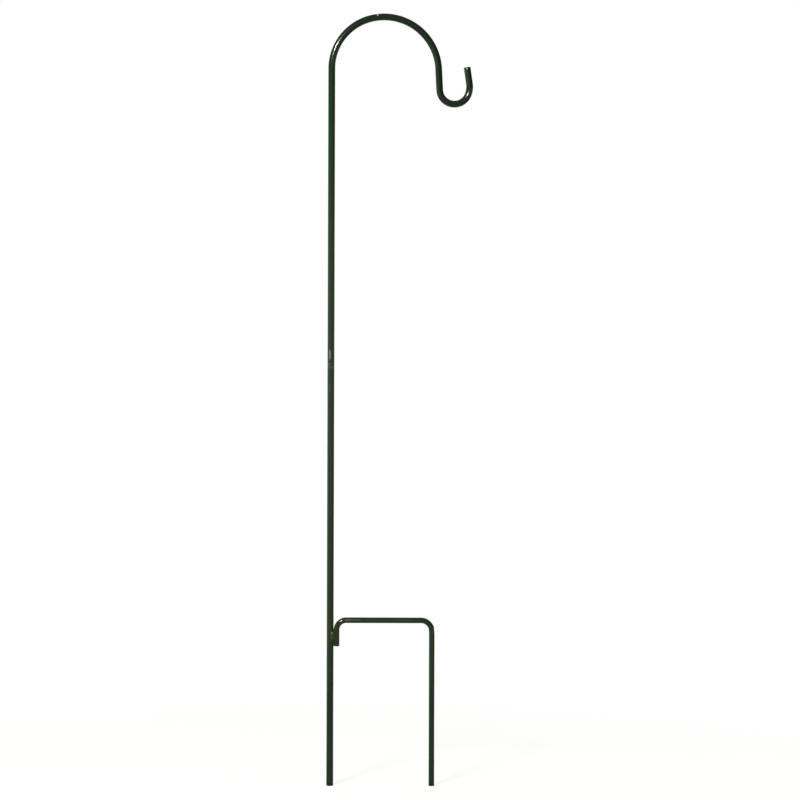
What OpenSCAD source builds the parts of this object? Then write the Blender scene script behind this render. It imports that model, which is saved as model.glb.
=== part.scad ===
// Garden crook for a hanging basket: a steel bar stake in two lengths, pinned together at
// mid height, with a bent foot bar welded to its side to step on and to stop it turning.
// Origin at the stake's lower end, on its axis. +Z up, +X towards the hook and the foot.

/* [Stake] */
// Diameter of the stake and crook bar, over its coating
stake_d = 11; // [8:0.1:16]
// Length of the lower bar, from its foot up to the seam
stake_len = 664; // [400:1:900]

/* [Crook] */
// Straight length of the upper bar, from the seam up to the first bend
crook_len = 469.3; // [200:0.1:700]
// Centreline radius of the bend that rises from the stake
rise_r = 81.4; // [50:0.1:130]
// Angle of the rising bend
rise_turn = 74.7; // [50:0.1:85]
// Centreline radius of the bend that goes over the top and down
fall_r = 86.3; // [50:0.1:130]
// Angle of the falling bend
fall_turn = 102.4; // [85:0.1:115]
// Straight drop between the crook and the hook
drop_len = 33.5; // [10:0.1:80]

/* [Hook] */
// Centreline radius of the hook's saddle, where the basket hangs
hook_r = 23.3; // [15:0.1:40]
// Angle of the saddle bend
hook_turn = 154.2; // [120:0.1:165]
// Centreline radius of the easier bend that closes the mouth
mouth_r = 33.3; // [15:0.1:60]
// Angle of the mouth bend
mouth_turn = 31; // [10:0.1:45]
// Straight length at the hook's tip
tip_len = 26.7; // [8:0.1:50]

/* [Joining pin] */
// Diameter of the pin
pin_d = 6; // [4:0.1:6.4]
// Length of pin that stands in each bar
pin_engage = 30; // [15:1:60]
// Radial clearance of the pin in the stake, which it lifts out of
pin_slip = 0.08; // [0.01:0.01:0.1]
// Radial clearance of the pin in the crook, which turns on it
pin_run = 0.04; // [0.01:0.01:0.1]
// Room left between the pin's end and the foot of the drilled wall
pin_end_gap = 0.3; // [0.1:0.1:2]
// Bevel on both ends of the pin
pin_bevel = 0.8; // [0.2:0.1:1.5]
// Included angle of the drill's point
drill_point = 118; // [90:1:140]

/* [Foot] */
// Diameter of the foot bar, over its coating
foot_d = 9; // [6:0.1:12]
// Distance between the stake's axis and the outer spike's axis
spike_span = 160.6; // [100:0.1:250]
// Height of the step bar's axis above the stake's foot
step_h = 261.4; // [150:0.1:350]
// Centreline radius of the bend beside the stake
inner_bend_r = 15; // [12:0.1:30]
// Centreline radius of the bend above the outer spike
outer_bend_r = 17; // [12:0.1:30]
// Height of the short leg, from its cut end up to the step bar's axis
short_leg = 41.1; // [36:0.1:80]
// Gap between the stake and the short leg, which the welds bridge
leg_gap = 0.2; // [0.1:0.1:3]

/* [Welds] */
// Radius of each weld bead's rounded face
bead_r = 3.8; // [3:0.1:5]
// How far each bead's crown stands proud of the stake
bead_crown = 0.4; // [0.1:0.1:1]
// Length of each bead
bead_len = 29.8; // [10:0.1:32]
// Height of the bead's lower end above the short leg's cut end
bead_lift = 0.9; // [0.5:0.1:10]
// Unfilled gap behind each bead, out from the bars' middle plane
bead_root = 0.8; // [0.1:0.1:1.5]

/* [Edges] */
// Rounding of the bars' cut ends
end_round = 1.1; // [0.3:0.1:2]
// Bevel on both bars at the seam
seam_bevel = 0.3; // [0.1:0.1:1]

/* [Hidden] */
$fn = 64;

// Axis of the short leg, and the middle of the gap between it and the stake
leg_x = stake_d / 2 + leg_gap + foot_d / 2;
gap_x = stake_d / 2 + leg_gap / 2;
leg_end_z = step_h - short_leg;

// Every row of a bend table is [straight feed, bend radius, bend angle]. A bar that starts
// upwards bends towards +X for a positive angle and towards -X for a negative one.
crook_table = [
    [crook_len - seam_bevel, rise_r, rise_turn],
    [0, fall_r, fall_turn],
    [drop_len, hook_r, -hook_turn],
    [0, mouth_r, -mouth_turn],
    [tip_len - end_round, 0, 0]
];
foot_table = [
    [short_leg - inner_bend_r - end_round, inner_bend_r, 90],
    [spike_span - leg_x - inner_bend_r - outer_bend_r, outer_bend_r, 90],
    [step_h - outer_bend_r - end_round, 0, 0]
];

// Depth of the drilled wall on each side of the seam, and how far the cut starts outside the bar
drill_depth = pin_engage + pin_end_gap;
cut_over = 1;

// How much wider in radius each bend is than its bar, and how far it laps into its neighbours,
// so that lengths which meet at any angle join in one piece
join_rim = 0.05;
join_lap = 0.5;

// One row of a bend table at a time: the straight, its bend, and then the rest of the bar from
// where the bend ends. Every second bend is wider again, so that two bends that meet are never
// flush. The child finishes the end of the bar.
module bent_bar(table, d, row = 0) {
    feed = table[row][0];
    radius = table[row][1];
    turn = abs(table[row][2]);
    side = table[row][2] < 0 ? 1 : 0;
    if (feed > 0)
        cylinder(h = feed, d = d);
    translate([0, 0, feed])
        if (turn > 0)
            mirror([side, 0, 0])
                translate([radius, 0, 0]) {
                    bend(radius, turn, d + 2 * join_rim * (1 + row % 2));
                    rotate([0, turn, 0])
                        translate([-radius, 0, 0])
                            mirror([side, 0, 0])
                                bent_bar(table, d, row + 1)
                                    children();
                }
        else
            children();
}

// A bend about the origin that starts heading up and curves towards +X, with a lap at each end
module bend(radius, turn, d) {
    lap = join_lap / radius * 180 / PI;
    rotate([90, 0, 0])
        rotate_extrude(angle = turn + 2 * lap, start = 180 - turn - lap)
            translate([radius, 0])
                circle(d = d);
}

// The last bit of a cut bar, heading up, with its edge rounded
module rounded_end(d) {
    rotate_extrude()
        union() {
            square([d / 2 - end_round, end_round]);
            intersection() {
                translate([d / 2 - end_round, 0])
                    circle(end_round);
                square([d / 2, end_round]);
            }
        }
}

// The last bit of a bar at the seam, heading up, with its edge bevelled
module seam_end(d) {
    cylinder(h = seam_bevel, d1 = d, d2 = d - 2 * seam_bevel);
}

// A drilled hole that goes up from the origin, with the drill's point at its end
module drilled(d) {
    translate([0, 0, -cut_over])
        cylinder(h = drill_depth + cut_over, d = d);
    translate([0, 0, drill_depth])
        cylinder(h = d / 2 / tan(drill_point / 2), d1 = d, d2 = 0);
}

module stake_bar() {
    color("#2b3f2f")
        difference() {
            union() {
                translate([0, 0, end_round])
                    mirror([0, 0, 1])
                        rounded_end(stake_d);
                translate([0, 0, end_round])
                    cylinder(h = stake_len - end_round - seam_bevel, d = stake_d);
                translate([0, 0, stake_len - seam_bevel])
                    seam_end(stake_d);
            }
            translate([0, 0, stake_len])
                mirror([0, 0, 1])
                    drilled(pin_d + 2 * pin_slip);
        }
}

module crook_bar() {
    color("#2b3f2f")
        translate([0, 0, stake_len])
            difference() {
                translate([0, 0, seam_bevel]) {
                    mirror([0, 0, 1])
                        seam_end(stake_d);
                    bent_bar(crook_table, stake_d)
                        rounded_end(stake_d);
                }
                drilled(pin_d + 2 * pin_run);
            }
}

module joining_pin() {
    color("#9a9c98")
        translate([0, 0, stake_len - pin_engage]) {
            cylinder(h = pin_bevel, d1 = pin_d - 2 * pin_bevel, d2 = pin_d);
            translate([0, 0, pin_bevel])
                cylinder(h = 2 * (pin_engage - pin_bevel), d = pin_d);
            translate([0, 0, 2 * pin_engage - pin_bevel])
                cylinder(h = pin_bevel, d1 = pin_d, d2 = pin_d - 2 * pin_bevel);
        }
}

module foot_bar() {
    color("#2a3a2d")
        translate([leg_x, 0, leg_end_z + end_round]) {
            mirror([0, 0, 1])
                rounded_end(foot_d);
            bent_bar(foot_table, foot_d)
                rounded_end(foot_d);
        }
}

// A round-ended bead in the valley between the stake and the short leg, on the -Y side. The
// bars themselves are taken out of it, so that it lies on both, and so is its unfilled root.
module weld_bead() {
    difference() {
        translate([gap_x, bead_r - bead_crown - stake_d / 2, leg_end_z + bead_lift + bead_r]) {
            sphere(bead_r);
            cylinder(h = bead_len - 2 * bead_r, r = bead_r);
            translate([0, 0, bead_len - 2 * bead_r])
                sphere(bead_r);
        }
        translate([gap_x - bead_r, -bead_root, leg_end_z])
            cube([2 * bead_r, 2 * bead_r, short_leg]);
        stake_bar();
        foot_bar();
    }
}

module weld_front() {
    color("#26402b")
        weld_bead();
}

module weld_rear() {
    color("#26402b")
        mirror([0, 1, 0])
            weld_bead();
}

stake_bar();
foot_bar();
weld_front();
weld_rear();
joining_pin();
crook_bar();
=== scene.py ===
import math

import bpy
import numpy as np
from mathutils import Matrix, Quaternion, Vector


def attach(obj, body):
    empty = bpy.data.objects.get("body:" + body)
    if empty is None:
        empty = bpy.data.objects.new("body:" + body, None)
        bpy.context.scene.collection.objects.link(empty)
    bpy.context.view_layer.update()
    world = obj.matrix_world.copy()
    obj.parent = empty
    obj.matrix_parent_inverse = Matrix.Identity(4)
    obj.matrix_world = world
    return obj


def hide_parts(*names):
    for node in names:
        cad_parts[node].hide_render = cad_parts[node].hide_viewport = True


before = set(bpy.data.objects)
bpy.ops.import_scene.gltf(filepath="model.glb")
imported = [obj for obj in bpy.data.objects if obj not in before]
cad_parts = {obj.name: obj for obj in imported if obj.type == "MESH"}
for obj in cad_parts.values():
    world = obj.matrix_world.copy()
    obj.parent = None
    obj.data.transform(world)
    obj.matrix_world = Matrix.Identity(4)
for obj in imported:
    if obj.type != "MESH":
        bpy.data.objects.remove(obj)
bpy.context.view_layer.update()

mm = 0.001
sharpDeg = 38  # an edge that turns more than this stays crisp


# Shared helpers

def linearColour(hexText):
    # sRGB hex to linear light, with full alpha
    srgb = np.array([int(hexText[i:i + 2], 16) for i in (1, 3, 5)]) / 255
    linear = np.where(srgb <= 0.04045, srgb / 12.92, ((srgb + 0.055) / 1.055) ** 2.4)
    return (*linear.tolist(), 1.0)


def addNode(tree, kind, inputs=None, **settings):
    # A socket given as an input is linked, and any other value is set. A Mix node's two values are
    # its inputs 2 and 3, and its two colours are 6 and 7.
    node = tree.nodes.new(kind)
    for key, value in settings.items():
        setattr(node, key, value)
    for key, value in (inputs or {}).items():
        if isinstance(value, bpy.types.NodeSocket):
            tree.links.new(value, node.inputs[key])
        else:
            node.inputs[key].default_value = value
    return node


def newMaterial(name):
    material = bpy.data.materials.new(name)
    material.use_nodes = True
    material.node_tree.nodes.clear()
    return material, material.node_tree


def centreline(start, heading, legs):
    # A bar's centreline in the XZ plane, from [straight feed, bend radius, bend angle] rows in mm
    # and degrees. Along a straight the place is start + tangent * d. Along a bend it is
    # start + tangent * sin(k d) / k + normal * (1 - cos(k d)) / k, with k = 1 / radius signed by
    # the turn. Heading is measured from +Z towards +X.
    pieces = []
    point = np.array(start, float)
    run = 0.0
    for feed, radius, turn in legs:
        bendLength = math.radians(abs(turn)) * radius
        bendCurve = math.copysign(1, turn) / max(radius, 1e-9)
        for length, k in ((feed, 0.0), (bendLength, bendCurve)):
            if length <= 0:
                continue
            pieces.append((run, point.copy(), heading, k))
            tangent = np.array([math.sin(heading), math.cos(heading)])
            normal = np.array([math.cos(heading), -math.sin(heading)])
            if k:
                point = point + tangent * math.sin(k * length) / k + normal * (1 - math.cos(k * length)) / k
            else:
                point = point + tangent * length
            heading += k * length
            run += length
    starts = np.array([p[0] for p in pieces])
    points = np.array([p[1] for p in pieces])
    headings = np.array([p[2] for p in pieces])
    curves = np.array([p[3] for p in pieces])

    def at(s):
        leg = np.clip(np.searchsorted(starts, s, side="right") - 1, 0, len(starts) - 1)
        d = s - starts[leg]
        k = curves[leg]
        h0 = headings[leg]
        safe = np.where(k == 0, 1, k)
        along = np.where(k == 0, d, np.sin(k * d) / safe)
        across = np.where(k == 0, 0, (1 - np.cos(k * d)) / safe)
        x = points[leg, 0] + np.sin(h0) * along + np.cos(h0) * across
        z = points[leg, 1] + np.cos(h0) * along - np.sin(h0) * across
        h = h0 + k * d
        zero = np.zeros_like(h)
        place = np.stack([x, zero, z], -1)
        inward = np.stack([np.cos(h), zero, -np.sin(h)], -1)
        return place, inward

    return at, run


def spread(start, *zones):
    # Stations between a start and the last end, not counting these two. Each zone is an end and
    # a step, and starts where the one before it ends.
    parts = []
    for end, step in zones:
        parts.append(np.linspace(start, end, max(2, int(round(abs(end - start) / step)) + 1))[:-1])
        start = end
    return np.concatenate(parts)[1:]


def roundedEdge(radius, rounding, steps=7):
    # A quarter circle from the flat of a cut end (station 0) out to the wall (station = rounding)
    a = np.linspace(0, math.pi / 2, steps)
    return rounding * (1 - np.cos(a)), radius - rounding + rounding * np.sin(a)


def closedGrid(name, rings, firstPole, lastPole, materials, finish=None, marks=None):
    # A closed skin from an array of rings (stations x sides x 3, in mm) with a point at each end.
    # Face (i, j) joins ring i to ring i + 1 and side j to side j + 1. finish gives each strip of
    # faces its material, and marks are values from 0 to 1 that the materials read.
    count, sides = rings.shape[:2]
    co = np.concatenate([rings.reshape(-1, 3), [firstPole], [lastPole]]) * mm
    index = np.arange(count * sides).reshape(count, sides)
    nxt = np.roll(index, -1, axis=1)
    quads = np.stack([index[:-1], nxt[:-1], nxt[1:], index[1:]], -1).reshape(-1, 4)
    first = np.stack([np.full(sides, count * sides), nxt[0], index[0]], -1)
    last = np.stack([np.full(sides, count * sides + 1), index[-1], nxt[-1]], -1)
    # Signed volume says whether the skin points outwards
    tris = np.concatenate([quads[:, [0, 1, 2]], quads[:, [0, 2, 3]], first, last])
    a, b, c = co[tris[:, 0]], co[tris[:, 1]], co[tris[:, 2]]
    if np.einsum("ij,ij->", a, np.cross(b, c)) < 0:
        quads, first, last = quads[:, ::-1], first[:, ::-1], last[:, ::-1]
    mesh = bpy.data.meshes.new(name)
    mesh.from_pydata(co.tolist(), [], quads.tolist() + first.tolist() + last.tolist())
    for material in materials:
        mesh.materials.append(material)
    if finish is not None:
        caps = [np.full(sides, finish[0]), np.full(sides, finish[-1])]
        ofFace = np.concatenate([np.repeat(finish[1:-1], sides), *caps])
        mesh.polygons.foreach_set("material_index", ofFace.astype(np.int32))
    for key, values in (marks or {}).items():
        layer = mesh.attributes.new(key, "FLOAT", "POINT")
        ofPoint = np.concatenate([values.ravel(), values[0, :1], values[-1, :1]])
        layer.data.foreach_set("value", ofPoint.astype(np.float32))
    mesh.shade_smooth()
    mesh.set_sharp_from_angle(angle=math.radians(sharpDeg))
    mesh.validate()
    piece = bpy.data.objects.new(name, mesh)
    bpy.context.scene.collection.objects.link(piece)
    return piece


def barSkin(name, line, stations, radii, sides, materials, finish=None, marks=None, dent=None):
    # A profile of (station, radius) pairs carried round a bar's centreline: the point at angle a
    # is place + radius * (inward * cos(a) + front * sin(a)), with front towards -Y
    angle = np.linspace(0, 2 * math.pi, sides, endpoint=False)
    place, inward = line(stations)
    radius = np.repeat(radii[:, None], sides, axis=1)
    if dent is not None:
        radius = radius - dent
    front = np.array([0.0, -1.0, 0.0])
    ring = place[:, None, :] + radius[:, :, None] * (
        inward[:, None, :] * np.cos(angle)[None, :, None] + front * np.sin(angle)[None, :, None])
    inner = {key: value[1:-1] for key, value in (marks or {}).items()}
    return closedGrid(name, ring[1:-1], place[0], place[-1], materials, finish, inner)


def patch(stations, sides, outer, centre, angle, halfLong, halfRound, radius, edge=0.35):
    # A soft-edged oval on the bar's wall: 1 inside, falling to 0 over the edge share of its size
    # as 3 f^2 - 2 f^3. angle is in degrees from the inward side towards the front.
    a = np.linspace(0, 2 * math.pi, sides, endpoint=False)[None, :]
    turn = (a - math.radians(angle) + math.pi) % (2 * math.pi) - math.pi
    reach = np.sqrt(((stations[:, None] - centre) / halfLong) ** 2 + (turn * radius / halfRound) ** 2)
    soft = np.clip((1 + edge - reach) / (2 * edge), 0, 1)
    return soft * soft * (3 - 2 * soft) * outer[:, None]


# The camera stands where the photographer stood

photoView = {
    "framePx": 800,  # the photograph is square
    "mmPerPx": 1.5803,  # 1220 mm of stand fill 772 px
    "centreX": 109.3,  # what stands in the middle of the frame
    "centreZ": 609.6,
    "leanDeg": 0.17,  # the stand leans to the right by this much
    "distance": 4000,  # far enough away that the bars show no perspective
    "sensorMm": 36,
}
cameraData = bpy.data.cameras.new("photoCamera")
cameraData.sensor_width = photoView["sensorMm"]
frameMm = photoView["framePx"] * photoView["mmPerPx"]
cameraData.lens = photoView["sensorMm"] * photoView["distance"] / frameMm
cameraData.clip_start, cameraData.clip_end = 0.05, 60
camera = bpy.data.objects.new("photoCamera", cameraData)
bpy.context.scene.collection.objects.link(camera)
camera.location = Vector((photoView["centreX"], -photoView["distance"], photoView["centreZ"])) * mm
camera.rotation_mode = "QUATERNION"
roll = Quaternion((0, 1, 0), -math.radians(photoView["leanDeg"]))
camera.rotation_quaternion = roll @ Vector((0, 1, 0)).to_track_quat("-Z", "Y")
bpy.context.scene.camera = camera
print("camera placed, lens", round(cameraData.lens, 1), "mm")


# Materials

# Polyester powder coat over mild steel, sprayed on dry and melted in an oven: a deep green with a
# wet-looking gloss, a faint orange-peel ripple, and a greyer, duller green where it is rubbed, which
# also paints highlights at the seam and along the step. Where it is knocked off, the matt grey zinc
# primer shows, and a chip of primer also paints the glint on the hook's tip. Painted shade darkens
# the cut ends, rings round the chips, the crook from its bend on and the valleys of the weld ripples.
coatLook = {
    "green": "#16391b",
    "greenDeep": "#122e18",  # where the coat lies thicker
    "olive": "#28370e",  # painted yellower round the weld
    # rubbed places, which also paint highlights at the seam and along the step
    "rubbedAndLit": "#75846f",
    "paintedShade": "#0b110c",  # painted shade: cut ends, rings round chips, the crook from its bend on, weld ripples
    # bare primer at chips, and the painted glint on the hook's tip
    "primerAndGlint": "#a7b0a4",
    "patchMm": 38,  # size of the slow changes of shade
    "peelMm": 1.6,  # orange peel, crest to crest
    "peelDeepMm": 0.002,
    "dustMm": 0.5,  # nibs of dust under the coat
    "dustGapMm": 16,
    "dustDeepMm": 0.012,
    "scuffMm": 0.9,  # grain of the rubbed places and painted highlights
    "ior": 1.5,
    "roughness": 0.12,
    "roughnessSpan": 0.06,
    "rubbedRoughness": 0.42,
    "primerRoughness": 0.6,
}


def powderCoat(name, look, ripple=1.0):
    material, tree = newMaterial(name)
    where = addNode(tree, "ShaderNodeTexCoord").outputs["Object"]
    shade = addNode(tree, "ShaderNodeTexNoise", {
        "Vector": where, "Scale": 1 / (look["patchMm"] * mm), "Detail": 3.0, "Roughness": 0.55})
    green = addNode(tree, "ShaderNodeMix", {
        "Factor": shade.outputs["Fac"], 6: linearColour(look["green"]), 7: linearColour(look["greenDeep"])},
        data_type="RGBA")
    olive = addNode(tree, "ShaderNodeAttribute", attribute_name="olive").outputs["Fac"]
    warmer = addNode(tree, "ShaderNodeMix", {
        "Factor": olive, 6: green.outputs[2], 7: linearColour(look["olive"])}, data_type="RGBA")
    # Painted shade: the coat darkens towards a near black where this attribute is set
    paintedShade = addNode(tree, "ShaderNodeAttribute", attribute_name="paintedShade").outputs["Fac"]
    dark = addNode(tree, "ShaderNodeMix", {
        "Factor": paintedShade, 6: warmer.outputs[2], 7: linearColour(look["paintedShade"])}, data_type="RGBA")
    # Rubs, which also paint highlights: a paler, duller green where this attribute is set
    rubAndHighlight = addNode(tree, "ShaderNodeAttribute", attribute_name="rubAndHighlight").outputs["Fac"]
    grain = addNode(tree, "ShaderNodeTexNoise", {
        "Vector": where, "Scale": 1 / (look["scuffMm"] * mm), "Detail": 4.0, "Roughness": 0.6})
    streaky = addNode(tree, "ShaderNodeMath", {0: rubAndHighlight, 1: grain.outputs["Fac"]}, operation="MULTIPLY")
    rubbedAndLitPart = addNode(tree, "ShaderNodeMath", {
        0: rubAndHighlight, 1: streaky.outputs[0]}, operation="ADD", use_clamp=True)
    rubbedAndLit = addNode(tree, "ShaderNodeMix", {
        "Factor": rubbedAndLitPart.outputs[0], 6: dark.outputs[2], 7: linearColour(look["rubbedAndLit"])},
        data_type="RGBA")
    # Chips to bare primer, which also paint the glint on the hook's tip
    bareAndGlint = addNode(tree, "ShaderNodeAttribute", attribute_name="bareAndGlint").outputs["Fac"]
    colour = addNode(tree, "ShaderNodeMix", {
        "Factor": bareAndGlint, 6: rubbedAndLit.outputs[2], 7: linearColour(look["primerAndGlint"])}, data_type="RGBA")
    haze = addNode(tree, "ShaderNodeMapRange", {
        "Value": shade.outputs["Fac"], "To Min": look["roughness"] - look["roughnessSpan"] / 2,
        "To Max": look["roughness"] + look["roughnessSpan"] / 2})
    dull = addNode(tree, "ShaderNodeMix", {
        "Factor": rubbedAndLitPart.outputs[0], 2: haze.outputs[0], 3: look["rubbedRoughness"]},
        data_type="FLOAT")
    rough = addNode(tree, "ShaderNodeMix", {
        "Factor": bareAndGlint, 2: dull.outputs[0], 3: look["primerRoughness"]}, data_type="FLOAT")
    peel = addNode(tree, "ShaderNodeTexNoise", {
        "Vector": where, "Scale": 1 / (look["peelMm"] * mm), "Detail": 1.0, "Roughness": 0.4})
    peelBump = addNode(tree, "ShaderNodeBump", {
        "Height": peel.outputs["Fac"], "Distance": look["peelDeepMm"] * mm * ripple, "Strength": 1.0})
    nibs = addNode(tree, "ShaderNodeTexVoronoi", {
        "Vector": where, "Scale": 1 / (look["dustGapMm"] * mm)})
    nib = addNode(tree, "ShaderNodeMapRange", {
        "Value": nibs.outputs["Distance"], "From Min": 0.0,
        "From Max": look["dustMm"] / look["dustGapMm"], "To Min": 1.0, "To Max": 0.0})
    nibBump = addNode(tree, "ShaderNodeBump", {
        "Height": nib.outputs[0], "Distance": look["dustDeepMm"] * mm, "Strength": 1.0,
        "Normal": peelBump.outputs["Normal"]})
    surface = addNode(tree, "ShaderNodeBsdfPrincipled", {
        "Base Color": colour.outputs[2], "Roughness": rough.outputs[0], "IOR": look["ior"],
        "Normal": nibBump.outputs["Normal"]})
    addNode(tree, "ShaderNodeOutputMaterial", {"Surface": surface.outputs["BSDF"]})
    return material


# Mild steel bar, drilled: bright grey with the fine rings that the drill leaves, dulled by oil
drilledLook = {
    "steel": "#97958f",
    "dull": "#83807a",
    "stainMm": 4,
    "ringMm": 0.35,
    "ringDeepMm": 0.01,
    "ringStretch": 40,  # waves per metre across the rings, so few that each ring is even
    "smoothest": 0.32,  # roughness
    "roughest": 0.46,
}

# Mild steel pin, ground between wheels: satin, with hair lines round it
pinLook = {
    "steel": "#c8c7c3",
    "dull": "#a8a6a1",
    "stainMm": 4,
    "ringMm": 0.22,
    "ringDeepMm": 0.004,
    "ringStretch": 40,
    "smoothest": 0.21,
    "roughest": 0.35,
}


def turnedSteel(name, look):
    material, tree = newMaterial(name)
    where = addNode(tree, "ShaderNodeTexCoord").outputs["Object"]
    # Stretched round the vertical axis, so that the noise reads as rings
    across, along = look["ringStretch"], 1 / (look["ringMm"] * mm)
    squeeze = addNode(tree, "ShaderNodeMapping", {"Vector": where, "Scale": (across, across, along)})
    rings = addNode(tree, "ShaderNodeTexNoise", {
        "Vector": squeeze.outputs[0], "Scale": 1.0, "Detail": 2.0, "Roughness": 0.6})
    stain = addNode(tree, "ShaderNodeTexNoise", {
        "Vector": where, "Scale": 1 / (look["stainMm"] * mm), "Detail": 3.0})
    colour = addNode(tree, "ShaderNodeMix", {
        "Factor": stain.outputs["Fac"], 6: linearColour(look["steel"]),
        7: linearColour(look["dull"])}, data_type="RGBA")
    rough = addNode(tree, "ShaderNodeMapRange", {
        "Value": stain.outputs["Fac"], "To Min": look["smoothest"], "To Max": look["roughest"]})
    bump = addNode(tree, "ShaderNodeBump", {
        "Height": rings.outputs["Fac"], "Distance": look["ringDeepMm"] * mm, "Strength": 1.0})
    surface = addNode(tree, "ShaderNodeBsdfPrincipled", {
        "Base Color": colour.outputs[2], "Metallic": 1.0, "Roughness": rough.outputs[0],
        "Normal": bump.outputs["Normal"]})
    addNode(tree, "ShaderNodeOutputMaterial", {"Surface": surface.outputs["BSDF"]})
    return material


powderGreen = powderCoat("glossGreenPowderCoat", coatLook)
# The same coat, thinner and duller over the rippled metal of a weld
weldLook = {**coatLook, "green": "#1c4419", "greenDeep": "#183a17", "roughness": 0.34}
powderWeld = powderCoat("powderCoatOverWeld", weldLook, ripple=2.0)
drilledSteel = turnedSteel("drilledMildSteel", drilledLook)
groundSteel = turnedSteel("groundSteelPin", pinLook)
print("materials made")


# The stake: the lower bar, drilled at its top for the pin

stake = {
    "diameter": 11,
    "length": 664,
    "endRound": 1.1,
    "seamBevel": 0.3,
    "holeDepth": 30.3,
    "holeRadius": 3.08,
    "holeBevel": 0.15,
    "drillPointDeg": 118,
    "sides": 96,
    "wallRings": [[200, 8], [260, 4], [615, 8]],  # up to this height, this far apart
    "seamRings": 0.8,  # and this from there to the seam
    "rubsAndHighlights": [  # rubs round the seam that also paint its highlights: [height, angle from the right side to the front, half length, half width, strength]
        [628.0, 106, 7.0, 1.4, 0.10],
        [662.0, 124, 2.4, 3.4, 0.20],
        [661.0, 70, 2.2, 2.0, 0.20],
    ],
    "endShadeReach": 3.2,  # how far the painted shade reaches from a cut end
    "olive": [247, 26, 0.75],  # height, half length, strength
}


boreRings = 4  # of a drilled end, those from the hole's lip down: bare steel
plainRings = 6  # those from the face on, which carry no marks


def drilledEnd(bar, top, way):
    # Stations and radii from a bar's wall round its bevel and face and down the drilled hole.
    # way is 1 where the hole goes down from the top of the bar, and -1 where it goes up.
    half, bore, lip = bar["diameter"] / 2, bar["holeRadius"], bar["holeBevel"]
    point = bore / math.tan(math.radians(bar["drillPointDeg"] / 2))
    down = [bar["seamBevel"], 0, 0, lip, bar["holeDepth"] / 2, bar["holeDepth"], bar["holeDepth"] + point]
    radii = [half, half - bar["seamBevel"], bore + lip, bore, bore, bore, 0]
    return top - way * np.array(down), np.array(radii, float)


def rubAndHighlightMarks(bar, stations, outer):
    # The strongest of the bar's rubs and painted highlights at each point, each one strength * oval
    rubAndHighlight = np.zeros((len(stations), bar["sides"]))
    for centre, angle, halfLong, halfRound, strength in bar["rubsAndHighlights"]:
        rubAndHighlight = np.maximum(rubAndHighlight, strength * patch(
            stations, bar["sides"], outer, centre, angle, halfLong, halfRound, bar["diameter"] / 2))
    return rubAndHighlight


def endShadeMark(stations, sides, outer, ends, reach):
    # Painted shade at the cut ends: (1 - d / reach)^1.5 at a distance d along the bar from the nearest of
    # its cut ends
    near = np.min([np.abs(stations - end) for end in ends], axis=0)
    fade = np.clip(1 - near / reach, 0, 1) ** 1.5
    return np.repeat((fade * outer)[:, None], sides, axis=1)


def bellMark(bar, key, stations, outer):
    # strength * exp(-(d / reach)^4) at a distance d along the bar from the middle of the mark
    middle, reach, strength = bar[key]
    bell = strength * np.exp(-((stations - middle) / reach) ** 4) * outer
    return np.repeat(bell[:, None], bar["sides"], axis=1)


stakeHalf = stake["diameter"] / 2
roundS, roundR = roundedEdge(stakeHalf, stake["endRound"])
holeS, holeR = drilledEnd(stake, stake["length"], 1)
wallS = spread(stake["endRound"], *stake["wallRings"], (holeS[0], stake["seamRings"]))
stakeS = np.concatenate([[0], roundS, wallS, holeS])
stakeR = np.concatenate([[0], roundR, np.full(len(wallS), stakeHalf), holeR])
stakeOuter = np.ones(len(stakeS))
stakeOuter[-plainRings:] = 0
stakeFinish = np.zeros(len(stakeS) - 1, int)
stakeFinish[-boreRings:] = 1
stakeLine, _ = centreline((0, 0), 0, [[stake["length"], 0, 0]])
stakeMarks = {
    "rubAndHighlight": rubAndHighlightMarks(stake, stakeS, stakeOuter),
    "paintedShade": endShadeMark(stakeS, stake["sides"], stakeOuter, [0], stake["endShadeReach"]),
    "olive": bellMark(stake, "olive", stakeS, stakeOuter),
}
stakePiece = barSkin("stakeBar", stakeLine, stakeS, stakeR, stake["sides"], [powderGreen, drilledSteel],
                     stakeFinish, stakeMarks)
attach(stakePiece, "stake")
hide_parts("stake_bar")
print("stake made")


# The crook: the upper bar, bent to the crook and its hook

crook = {
    "diameter": 11,
    "seamHeight": 664,
    # straight feed, bend radius and bend angle of each row
    "bends": [[469.3, 81.4, 74.7], [0, 86.3, 102.4], [33.5, 23.3, -154.2], [0, 33.3, -31], [26.7, 0, 0]],
    "endRound": 1.1,
    "seamGap": 0.03,  # a hair's breadth between the two faces, so that they don't graze as it turns
    "seamBevel": 0.3,
    "holeDepth": 30.3,
    "holeRadius": 3.04,
    "holeBevel": 0.15,
    "drillPointDeg": 118,
    "sides": 96,
    "wallRings": {"seam": 0.8, "straight": 8, "bend": 1.6, "chip": 0.2, "hook": 1.5, "tip": 0.3},
    "closeTo": {"seam": 35, "bend": 4, "chip": 4, "tip": 6},  # where the rings stand closer
    "rubsAndHighlights": [  # as the stake's: rubs round the seam that also paint its highlights
        [17.0, 107, 8.4, 1.6, 0.56],
        [1.6, 128, 1.8, 3.8, 0.27],
    ],
    "chipsAndGlint": [  # chips to bare primer; the one at the hook's tip is a painted glint on its rounded rim, the one on the crook's top also paints a highlight: [station, angle, half length, half width, depth]
        [588.4, 140, 1.5, 3.6, 0.16],
        [869.0, 101, 2.0, 0.8, 0.10],
    ],
    "chipEdge": 0.15,
    "lip": {"long": 1.5, "round": 1.3, "edge": 0.2, "dark": 0.7},  # painted shade in a ring round each chip
    "endShadeReach": 2.6,
    "bendShade": [700, 190, 0.42],  # painted shade over the crook from its bend on: station, half length, strength
}
crookLine, crookLength = centreline((0, crook["seamHeight"]), 0, crook["bends"])
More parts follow.
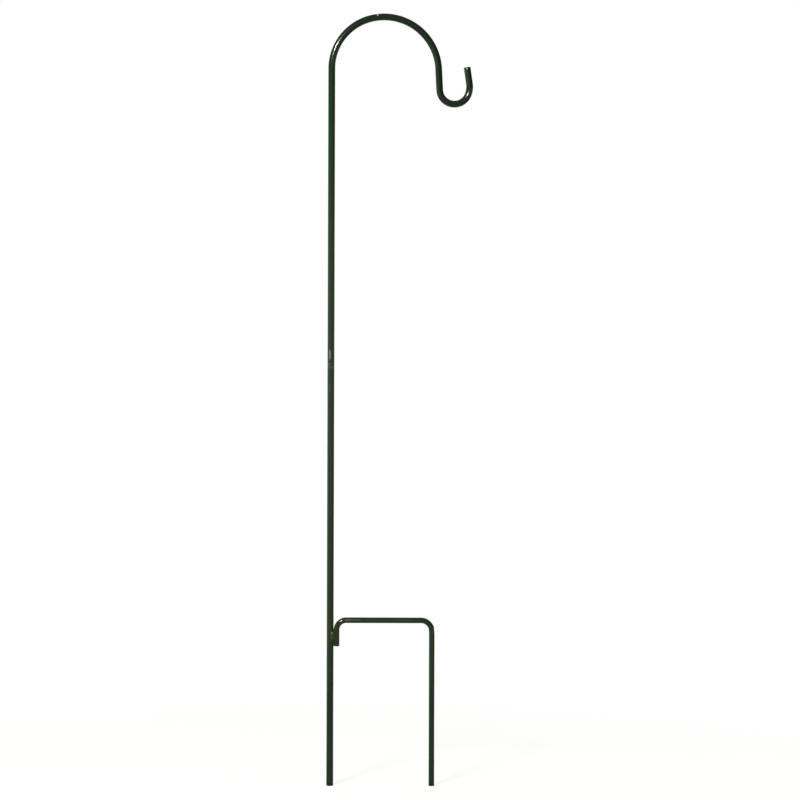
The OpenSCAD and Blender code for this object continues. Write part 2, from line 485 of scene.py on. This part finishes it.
topChip = crook["chipsAndGlint"][0][0]
crookHalf = crook["diameter"] / 2
roundS, roundR = roundedEdge(crookHalf, crook["endRound"])
holeS, holeR = drilledEnd(crook, crook["seamGap"], -1)
bendStart = crook["bends"][0][0]
apart, close = crook["wallRings"], crook["closeTo"]
wallS = spread(
    crook["seamBevel"], (close["seam"], apart["seam"]), (bendStart - close["bend"], apart["straight"]),
    (topChip - close["chip"], apart["bend"]), (topChip + close["chip"], apart["chip"]),
    (crookLength - close["tip"], apart["hook"]), (crookLength - crook["endRound"], apart["tip"]))
crookS = np.concatenate([holeS[::-1], wallS, crookLength - roundS[::-1], [crookLength]])
crookR = np.concatenate([holeR[::-1], np.full(len(wallS), crookHalf), roundR[::-1], [0]])
crookOuter = np.ones(len(crookS))
crookOuter[:plainRings] = 0
crookFinish = np.zeros(len(crookS) - 1, int)
crookFinish[:boreRings] = 1
chipAndGlintMark = np.zeros((len(crookS), crook["sides"]))
paintedShadeRing, chipDent = chipAndGlintMark.copy(), chipAndGlintMark.copy()
for middle, angle, halfLong, halfRound, deep in crook["chipsAndGlint"]:
    mark = patch(crookS, crook["sides"], crookOuter, middle, angle, halfLong, halfRound, crookHalf,
                 edge=crook["chipEdge"])
    lip = patch(crookS, crook["sides"], crookOuter, middle, angle, halfLong * crook["lip"]["long"],
                halfRound * crook["lip"]["round"], crookHalf, edge=crook["lip"]["edge"])
    chipAndGlintMark, paintedShadeRing, chipDent = chipAndGlintMark + mark, paintedShadeRing + lip, chipDent + mark * deep
# Painted shade: the hook's tip, rings round the chips, and the crook from its bend on
crookDark = np.maximum.reduce([
    endShadeMark(crookS, crook["sides"], crookOuter, [crookLength], crook["endShadeReach"]),
    paintedShadeRing * (1 - chipAndGlintMark) * crook["lip"]["dark"],
    bellMark(crook, "bendShade", crookS, crookOuter)])
crookMarks = {
    "rubAndHighlight": rubAndHighlightMarks(crook, crookS, crookOuter),
    "bareAndGlint": chipAndGlintMark,
    "paintedShade": crookDark,
}
crookPiece = barSkin("crookBar", crookLine, crookS, crookR, crook["sides"], [powderGreen, drilledSteel],
                     crookFinish, crookMarks, dent=chipDent)
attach(crookPiece, "crook")
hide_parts("crook_bar")
print("crook made, bar length", round(crookLength, 1), "mm")


# The joining pin, bevelled at both ends

pin = {"diameter": 6.0, "length": 60, "middle": 664, "bevel": 0.8, "soften": 0.1, "sides": 64}
bevelEnd = pin["bevel"] + pin["soften"]
pinS = np.array([0, 0, pin["bevel"], bevelEnd, pin["length"] / 2, pin["length"] - bevelEnd,
                 pin["length"] - pin["bevel"], pin["length"], pin["length"]])
pinIn = np.array([0, 1, 0.05, 0, 0, 0, 0.05, 1, 0])  # how far in each ring lies, as shares of the bevel
pinR = pin["diameter"] / 2 - pinIn * pin["bevel"]
pinR[[0, -1]] = 0
pinLine, _ = centreline((0, pin["middle"] - pin["length"] / 2), 0, [[pin["length"], 0, 0]])
pinPiece = barSkin("joiningPin", pinLine, pinS, pinR, pin["sides"], [groundSteel])
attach(pinPiece, "joining_pin")
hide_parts("joining_pin")
print("pin made")


# The foot: the thinner bar bent over as a step, with the outer spike

foot = {
    "diameter": 9,
    "legGap": 0.2,
    "spikeSpan": 160.6,
    "stepHeight": 261.4,
    "innerBend": 15,
    "outerBend": 17,
    "shortLeg": 41.1,
    "endRound": 1.1,
    "sides": 80,
    "wallRings": [[24, 1.2], [52, 0.7], [145, 3], [190, 1.4]],  # up to this station, this far apart
    "spikeRings": 8,
    "rubsAndHighlights": [  # where boots tread, which also paints highlights along the top of the step: [station, angle from the underside to the front, ...]
        [53, 98, 5.5, 1.4, 0.30],
        [65, 101, 9, 1.2, 0.22],
        [108, 99, 58, 2.2, 0.05],
        [136, 97, 16, 1.2, 0.10],
    ],
    "endShadeReach": 3.2,
    "olive": [22, 38, 0.75],
}
footHalf = foot["diameter"] / 2
legX = stakeHalf + foot["legGap"] + footHalf
legEnd = foot["stepHeight"] - foot["shortLeg"]
footLine, footLength = centreline((legX, legEnd), 0, [
    [foot["shortLeg"] - foot["innerBend"], foot["innerBend"], 90],
    [foot["spikeSpan"] - legX - foot["innerBend"] - foot["outerBend"], foot["outerBend"], 90],
    [foot["stepHeight"] - foot["outerBend"], 0, 0]])
roundS, roundR = roundedEdge(footHalf, foot["endRound"])
wallS = spread(foot["endRound"], *foot["wallRings"], (footLength - foot["endRound"], foot["spikeRings"]))
footS = np.concatenate([[0], roundS, wallS, footLength - roundS[::-1], [footLength]])
footR = np.concatenate([[0], roundR, np.full(len(wallS), footHalf), roundR[::-1], [0]])
footOuter = np.ones(len(footS))
footMarks = {
    "rubAndHighlight": rubAndHighlightMarks(foot, footS, footOuter),
    "paintedShade": endShadeMark(footS, foot["sides"], footOuter, [footLength], foot["endShadeReach"]),
    "olive": bellMark(foot, "olive", footS, footOuter),
}
footPiece = barSkin("footBar", footLine, footS, footR, foot["sides"], [powderGreen], None, footMarks)
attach(footPiece, "stake")
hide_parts("foot_bar")
print("foot made")


# The weld beads between the stake and the short leg

weld = {
    "faceRadius": 10.4,  # seen from above, the face is an arc about a point behind both bars
    "faceCentre": (4.18, 4.54),
    "faceFromDeg": 250.4,
    "faceSweepDeg": 52.3,
    "heart": (5.6, -1.6),  # what the section shrinks to, low in the valley
    "root": 0.8,  # from the bars' plane to the bead's hidden back
    "bite": 0.4,  # how far the back reaches into each bar
    "bead": [7.0, 25.0],  # from and to, in mm above the short leg's end
    "run": [0.9, 27.6],  # a thinner run fills the valley above and below the bead
    "runShare": 0.30,
    "runEnd": 1.5,
    "wobble": [[0.012, 3.1], [0.008, 7.3]],  # unsteadiness of the hand: share of the size, waves
    "ripplePitch": 2.1,
    "rippleDeep": 0.07,
    "rippleBow": 0.45,  # in pitches
    "rippleDrift": [0.12, 9],  # and how far they stray along the bead: pitches, radians over its length
    "valleyShade": 0.2,  # painted shade between two ripples
    "acrossPoints": 22,
    "alongPoints": 150,
}


def weldBead(name, side, node, seed):
    # Across, the face is an arc from the stake to the short leg, and the back runs through both
    # bars and the root. Along, with t = -1 at the bead's lower end and 1 at its upper, its size
    # is (1 - |t|^5)^(1/2). The run beyond both ends is a fixed share of that size, and rounds
    # off as (1 - (1 - d / runEnd)^2)^(1/2) at a distance d from its end. Crescents a pitch apart
    # are cut into the face as depth * (1 - |cos(pi * phase)|) * bow^(1/2), with the phase bowed
    # across too: bow = 1 - (2 v - 1)^2, with v from 0 at the stake to 1 at the short leg.
    chance = np.random.default_rng(seed)
    low, high = legEnd + np.array(weld["run"])
    beadLow, beadHigh = legEnd + np.array(weld["bead"])
    v = np.linspace(0, 1, weld["acrossPoints"])
    a = math.radians(weld["faceFromDeg"]) + v * math.radians(weld["faceSweepDeg"])
    u = np.linspace(0, 1, weld["alongPoints"] + 2)[1:-1]
    z = low + u * (high - low)
    t = np.clip(2 * (z - beadLow) / (beadHigh - beadLow) - 1, -1, 1)
    bead = np.sqrt(1 - np.abs(t) ** 5)
    toEnd = np.clip(np.minimum(z - low, high - z) / weld["runEnd"], 0, 1)
    run = weld["runShare"] * np.sqrt(1 - (1 - toEnd) ** 2)
    wobble = np.zeros(len(u))
    for share, waves in weld["wobble"]:
        wobble += share * np.sin(2 * math.pi * (waves * u + chance.random()))
    size = np.maximum(bead, run) * (1 + wobble)
    bow = 1 - (2 * v - 1) ** 2
    stray, along = weld["rippleDrift"]
    drift = stray * np.sin(along * u)
    phase = z[:, None] / weld["ripplePitch"] + weld["rippleBow"] * bow[None, :] + drift[:, None]
    cut = weld["rippleDeep"] * (1 - np.abs(np.cos(math.pi * phase))) * bow[None, :] ** 0.5
    reach = weld["faceRadius"] - cut
    face = np.array(weld["faceCentre"]) + reach[..., None] * np.stack([np.cos(a), np.sin(a)], -1)
    heart = np.array(weld["heart"])
    backX = [legX - footHalf + weld["bite"], stakeHalf - weld["bite"]]
    back = np.array([[x, -weld["root"]] for x in backX])
    section = np.concatenate([face, np.broadcast_to(back, (len(u), 2, 2))], axis=1)
    section = heart + (section - heart) * size[:, None, None]
    zGrid = np.broadcast_to(z[:, None], section.shape[:2])
    rings = np.stack([section[..., 0], section[..., 1] * side, zGrid], -1)
    poles = [[heart[0], heart[1] * side, end] for end in (low, high)]
    # Painted shade in the valleys between ripples
    valley = np.concatenate([cut / weld["rippleDeep"], np.zeros((len(u), 2))], axis=1)
    dark = {"paintedShade": weld["valleyShade"] * valley ** 2}
    piece = closedGrid(name, rings, poles[0], poles[1], [powderWeld], None, dark)
    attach(piece, "stake")
    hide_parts(node)


weldBead("weldFront", 1, "weld_front", 3)
weldBead("weldRear", -1, "weld_rear", 8)


spatter = {
    "count": 30,
    "sizeMm": [0.3, 0.75],  # radius
    "heights": [206, 252],
    "aboveLeg": 6,  # the drops gather about this height over the short leg's end
    "scatter": 13,
    "aroundDeg": [-150, -55],  # from the right side to the front
    "frontShare": 0.6,
    "sunk": 0.3,  # shares of the radius
    "tall": 1.25,
    "rows": 6,
    "sides": 10,
    "seed": 21,
}


def weldSpatter():
    # Drops of weld metal frozen on the stake under the coat. Each is a ball sunk a little into
    # the bar, x = r sin(p) cos(q), y = r sin(p) sin(q), z = tall * r cos(p).
    chance = np.random.default_rng(spatter["seed"])
    n = spatter["count"]
    size = chance.uniform(*spatter["sizeMm"], n)
    z = chance.normal(legEnd + spatter["aboveLeg"], spatter["scatter"], n).clip(*spatter["heights"])
    turn = np.radians(chance.uniform(*spatter["aroundDeg"], n))
    turn = turn * np.where(chance.random(n) < spatter["frontShare"], 1, -1)
    onStake = np.stack([np.cos(turn), np.sin(turn)], -1) * (stakeHalf - spatter["sunk"] * size[:, None])
    middle = np.concatenate([onStake, z[:, None]], axis=1)
    p = np.linspace(0, math.pi, spatter["rows"] + 2)[1:-1]
    q = np.linspace(0, 2 * math.pi, spatter["sides"], endpoint=False)
    ball = np.stack([np.sin(p)[:, None] * np.cos(q), np.sin(p)[:, None] * np.sin(q),
                     np.repeat(np.cos(p)[:, None], spatter["sides"], 1)], -1).reshape(-1, 3)
    ball = np.concatenate([ball, [[0, 0, 1], [0, 0, -1]]])
    co = (middle[:, None, :] + ball[None] * (size[:, None, None] * np.array([1, 1, spatter["tall"]]))) * mm
    rows, sides = spatter["rows"], spatter["sides"]
    index = np.arange(rows * sides).reshape(rows, sides)
    nxt = np.roll(index, -1, axis=1)
    quads = np.stack([index[:-1], index[1:], nxt[1:], nxt[:-1]], -1).reshape(-1, 4)
    top = np.stack([np.full(sides, rows * sides), index[0], nxt[0]], -1)
    bottom = np.stack([np.full(sides, rows * sides + 1), nxt[-1], index[-1]], -1)
    step = (np.arange(n) * len(ball))[:, None, None]
    faces = []
    for part in (quads, top, bottom):
        faces += (part + step).reshape(-1, part.shape[1]).tolist()
    mesh = bpy.data.meshes.new("weldSpatter")
    mesh.from_pydata(co.reshape(-1, 3).tolist(), [], faces)
    mesh.materials.append(powderWeld)
    mesh.shade_smooth()
    piece = bpy.data.objects.new("weldSpatter", mesh)
    bpy.context.scene.collection.objects.link(piece)
    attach(piece, "stake")


weldSpatter()
print("welds made")


# The floor, the world and the lamp

studio = {
    "floorRadius": 1.3,
    "floorSides": 96,
    "floorFade": {"from": 0.5, "to": 0.97},  # it fades to white here, in shares of its radius
    "floorGrey": 0.38,
    "floorLift": 0.79,  # what the floor adds to itself for the camera, so that it reads as white
    "floorFront": 0.14,  # share of that lift that the gloss sees in front of the stand
    "floorBehind": 0.5,  # and this far behind it, in metres, the gloss sees all of it
    "behind": {"from": 0.5, "to": 0.95},  # where the white backdrop starts, along Y
    # Soft light from the walls, from one side to the other, and from behind
    "plain": {"reach": 0.9, "left": 0.54, "right": 0.08, "behind": 0.85},
    # How bright the walls are in the gloss: first along X, then along Z
    "side": {"from": -1.0, "to": -0.5, "left": 1.0, "rest": 0.66},
    "above": {"from": 0.03, "to": 0.14, "share": 0.18},  # the walls dim upwards from eye height
    "below": {"from": -0.075, "to": 0.02, "share": 0.60},  # and downwards
    "ceiling": {"from": 0.25, "to": 0.7, "adds": 0.10},
    "skirting": {"from": -0.12, "to": -0.09, "adds": 0.08},  # a paler strip low on the walls
    "deep": {"from": -0.5, "to": -0.15, "share": 0.35},  # and dark again down to the floor
    "warm": {"from": 0.2, "to": 0.9, "colour": "#ffd8ae"},  # the right wall, along X
    "keyPlace": (-1.84, -5.0, 2.73),
    "keyAim": (0.08, 0, 0.8),
    "keySize": (1.36, 0.30),
    "keyTiltDeg": -24,  # its long side leans to the upper left, across the bars' shoulders
    "keyWatts": 200,
    "keyColour": "#fffae6",
}


def makeFloor():
    # A disc of white paper, a circle of points filled as one face
    count = studio["floorSides"]
    a = np.linspace(0, 2 * math.pi, count, endpoint=False)
    ring = np.stack([np.cos(a), np.sin(a), np.zeros(count)], -1) * studio["floorRadius"]
    mesh = bpy.data.meshes.new("floor")
    mesh.from_pydata(ring.tolist(), [], [list(range(count))])
    material, tree = newMaterial("whitePaperFloor")
    where = addNode(tree, "ShaderNodeTexCoord").outputs["Object"]
    fromMiddle = addNode(tree, "ShaderNodeVectorMath", {0: where}, operation="LENGTH")
    fade = addNode(tree, "ShaderNodeMapRange", {
        "Value": fromMiddle.outputs["Value"],
        "From Min": studio["floorFade"]["from"] * studio["floorRadius"],
        "From Max": studio["floorFade"]["to"] * studio["floorRadius"]}, interpolation_type="SMOOTHSTEP")
    light = addNode(tree, "ShaderNodeLightPath")
    part = addNode(tree, "ShaderNodeSeparateXYZ", {0: where})
    behind = addNode(tree, "ShaderNodeMapRange", {
        "Value": part.outputs["Y"], "From Min": 0.0, "From Max": studio["floorBehind"],
        "To Min": studio["floorFront"]}, interpolation_type="SMOOTHSTEP")
    glossy = addNode(tree, "ShaderNodeMath", {
        0: light.outputs["Is Glossy Ray"], 1: behind.outputs[0]}, operation="MULTIPLY")
    seen = addNode(tree, "ShaderNodeMath", {
        0: light.outputs["Is Camera Ray"], 1: glossy.outputs[0]}, operation="MAXIMUM")
    seenToo = addNode(tree, "ShaderNodeMath", {
        0: seen.outputs[0], 1: light.outputs["Is Transmission Ray"]}, operation="MAXIMUM")
    paper = addNode(tree, "ShaderNodeBsdfDiffuse", {"Color": (*[studio["floorGrey"]] * 3, 1)})
    lift = addNode(tree, "ShaderNodeMath", {
        0: seenToo.outputs[0], 1: studio["floorLift"]}, operation="MULTIPLY")
    lifted = addNode(tree, "ShaderNodeEmission", {"Color": (1, 1, 1, 1), "Strength": lift.outputs[0]})
    near = addNode(tree, "ShaderNodeAddShader", {0: paper.outputs[0], 1: lifted.outputs[0]})
    white = addNode(tree, "ShaderNodeEmission", {
        "Color": (1, 1, 1, 1), "Strength": seenToo.outputs[0]})
    whole = addNode(tree, "ShaderNodeMixShader", {
        0: fade.outputs[0], 1: near.outputs[0], 2: white.outputs[0]})
    addNode(tree, "ShaderNodeOutputMaterial", {"Surface": whole.outputs[0]})
    mesh.materials.append(material)
    floor = bpy.data.objects.new("floor", mesh)
    bpy.context.scene.collection.objects.link(floor)


def makeWorld():
    # White behind the stand and wherever the camera looks. In front it is a plain studio: paler on
    # the left than on the right, palest at eye height, and dimmer towards the ceiling and floor.
    world = bpy.data.worlds.new("studio")
    bpy.context.scene.world = world
    world.use_nodes = True
    tree = world.node_tree
    tree.nodes.clear()
    way = addNode(tree, "ShaderNodeTexCoord").outputs["Generated"]
    part = addNode(tree, "ShaderNodeSeparateXYZ", {0: way})
    side = addNode(tree, "ShaderNodeMapRange", {
        "Value": part.outputs["X"], "From Min": studio["side"]["from"], "From Max": studio["side"]["to"],
        "To Min": studio["side"]["left"], "To Max": studio["side"]["rest"]},
        interpolation_type="SMOOTHSTEP")
    above = addNode(tree, "ShaderNodeMapRange", {
        "Value": part.outputs["Z"], "From Min": studio["above"]["from"], "From Max": studio["above"]["to"],
        "To Min": 1.0, "To Max": studio["above"]["share"]}, interpolation_type="SMOOTHSTEP")
    below = addNode(tree, "ShaderNodeMapRange", {
        "Value": part.outputs["Z"], "From Min": studio["below"]["from"], "From Max": studio["below"]["to"],
        "To Min": studio["below"]["share"], "To Max": 1.0}, interpolation_type="SMOOTHSTEP")
    band = addNode(tree, "ShaderNodeMath", {0: above.outputs[0], 1: below.outputs[0]}, operation="MULTIPLY")
    ceiling = addNode(tree, "ShaderNodeMapRange", {
        "Value": part.outputs["Z"], "From Min": studio["ceiling"]["from"],
        "From Max": studio["ceiling"]["to"], "To Min": 0.0, "To Max": studio["ceiling"]["adds"]},
        interpolation_type="SMOOTHSTEP")
    skirting = addNode(tree, "ShaderNodeMapRange", {
        "Value": part.outputs["Z"], "From Min": studio["skirting"]["from"],
        "From Max": studio["skirting"]["to"], "To Min": studio["skirting"]["adds"], "To Max": 0.0},
        interpolation_type="SMOOTHSTEP")
    ends = addNode(tree, "ShaderNodeMath", {0: ceiling.outputs[0], 1: skirting.outputs[0]}, operation="ADD")
    front = addNode(tree, "ShaderNodeMath", {
        0: side.outputs[0], 1: band.outputs[0], 2: ends.outputs[0]}, operation="MULTIPLY_ADD")
    deep = addNode(tree, "ShaderNodeMapRange", {
        "Value": part.outputs["Z"], "From Min": studio["deep"]["from"], "From Max": studio["deep"]["to"],
        "To Min": studio["deep"]["share"], "To Max": 1.0}, interpolation_type="SMOOTHSTEP")
    walls = addNode(tree, "ShaderNodeMath", {0: front.outputs[0], 1: deep.outputs[0]}, operation="MULTIPLY")
    behind = addNode(tree, "ShaderNodeMapRange", {
        "Value": part.outputs["Y"], "From Min": studio["behind"]["from"],
        "From Max": studio["behind"]["to"]}, interpolation_type="SMOOTHSTEP")
    light = addNode(tree, "ShaderNodeLightPath")
    glossy = addNode(tree, "ShaderNodeMath", {
        0: light.outputs["Is Glossy Ray"], 1: behind.outputs[0]}, operation="MULTIPLY")
    seen = addNode(tree, "ShaderNodeMath", {
        0: light.outputs["Is Camera Ray"], 1: light.outputs["Is Transmission Ray"]}, operation="MAXIMUM")
    white = addNode(tree, "ShaderNodeMath", {0: seen.outputs[0], 1: glossy.outputs[0]}, operation="MAXIMUM")
    plain = addNode(tree, "ShaderNodeMapRange", {
        "Value": part.outputs["X"], "From Min": -studio["plain"]["reach"],
        "From Max": studio["plain"]["reach"], "To Min": studio["plain"]["left"],
        "To Max": studio["plain"]["right"]}, interpolation_type="SMOOTHSTEP")
    allRound = addNode(tree, "ShaderNodeMix", {
        "Factor": behind.outputs[0], 2: plain.outputs[0], 3: studio["plain"]["behind"]},
        data_type="FLOAT")
    room = addNode(tree, "ShaderNodeMix", {
        "Factor": light.outputs["Is Glossy Ray"], 2: allRound.outputs[0], 3: walls.outputs[0]},
        data_type="FLOAT")
    level = addNode(tree, "ShaderNodeMix", {
        "Factor": white.outputs[0], 2: room.outputs[0], 3: 1.0}, data_type="FLOAT")
    warm = addNode(tree, "ShaderNodeMapRange", {
        "Value": part.outputs["X"], "From Min": studio["warm"]["from"],
        "From Max": studio["warm"]["to"]}, interpolation_type="SMOOTHSTEP")
    warmPart = addNode(tree, "ShaderNodeMath", {
        0: warm.outputs[0], 1: white.outputs[0]}, operation="SUBTRACT", use_clamp=True)
    tint = addNode(tree, "ShaderNodeMix", {
        "Factor": warmPart.outputs[0], 6: (1, 1, 1, 1), 7: linearColour(studio["warm"]["colour"])},
        data_type="RGBA")
    sky = addNode(tree, "ShaderNodeBackground", {"Color": tint.outputs[2], "Strength": level.outputs[0]})
    addNode(tree, "ShaderNodeOutputWorld", {"Surface": sky.outputs[0]})


def areaLamp(name, place, aim, tiltDeg, size, watts, colour):
    lamp = bpy.data.lights.new(name, "AREA")
    lamp.shape = "ELLIPSE"
    lamp.color = linearColour(colour)[:3]
    lamp.size, lamp.size_y = size
    lamp.energy = watts
    holder = bpy.data.objects.new(name, lamp)
    bpy.context.scene.collection.objects.link(holder)
    holder.location = place
    holder.rotation_mode = "QUATERNION"
    facing = (Vector(aim) - Vector(place)).to_track_quat("-Z", "Y")
    holder.rotation_quaternion = facing @ Quaternion((0, 0, 1), math.radians(tiltDeg))


makeFloor()
makeWorld()
areaLamp("keyLamp", studio["keyPlace"], studio["keyAim"], studio["keyTiltDeg"], studio["keySize"],
         studio["keyWatts"], studio["keyColour"])
bpy.context.scene.view_settings.view_transform = "Standard"
print("studio made")
